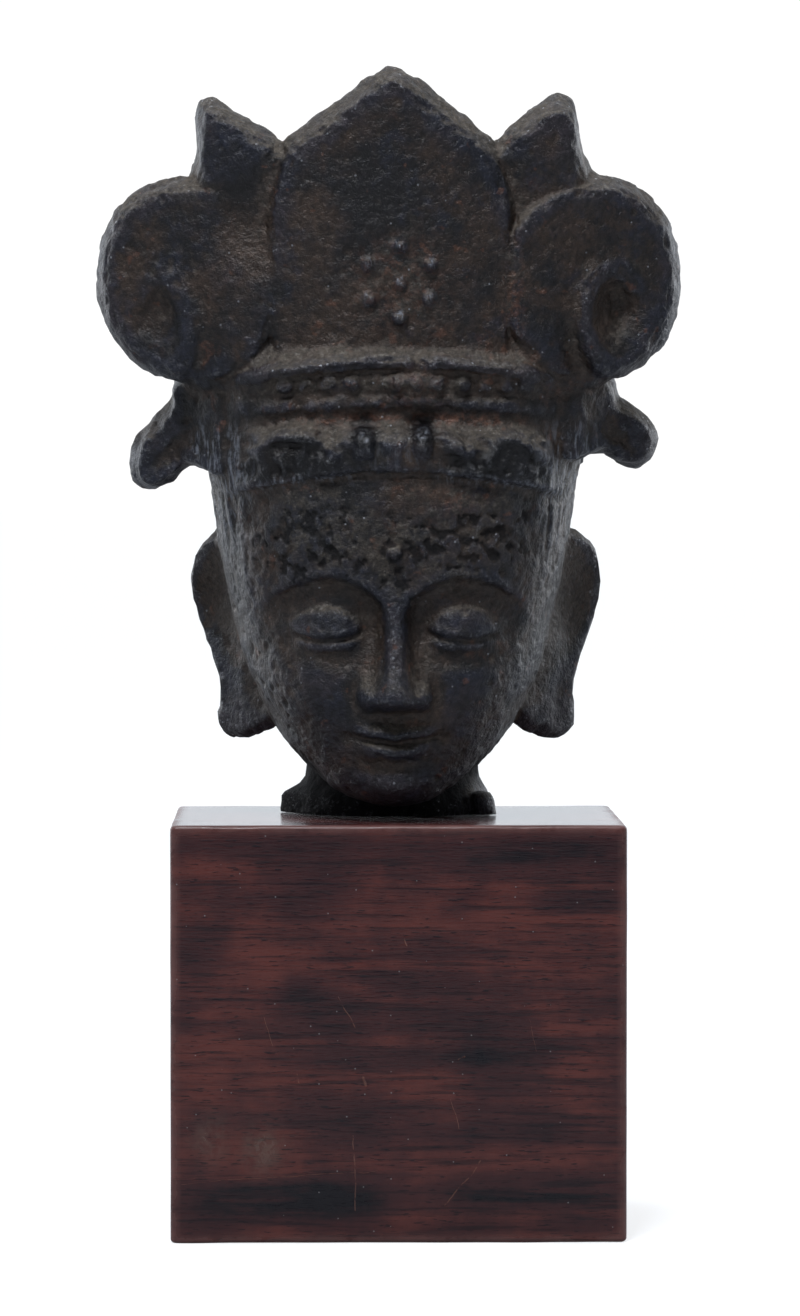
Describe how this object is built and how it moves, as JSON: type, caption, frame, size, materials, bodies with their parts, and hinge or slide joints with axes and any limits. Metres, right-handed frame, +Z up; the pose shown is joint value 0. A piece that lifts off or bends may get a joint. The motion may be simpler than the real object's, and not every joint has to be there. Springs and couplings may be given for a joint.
{
  "type": "crowned deity head on a block",
  "caption": "Cast iron head of a crowned deity, with scrolls, ribbons and long ears, standing on a hardwood block.",
  "frame": {"origin": "middle of the block's underside", "axes": "+Z up through the block and the head, the face looks along -Y, +X is to the viewer's right of the face"},
  "size_m": [0.1584, 0.1056, 0.3146],
  "materials": {
    "cast_iron": "dark, pitted old casting with brown dust in its hollows",
    "hardwood": "polished dark red-brown hardwood with black grain and worn edges"
  },
  "bodies": {
    "root": {"iron_head": "cast_iron", "wood_block": "hardwood"}
  },
  "joints": []
}
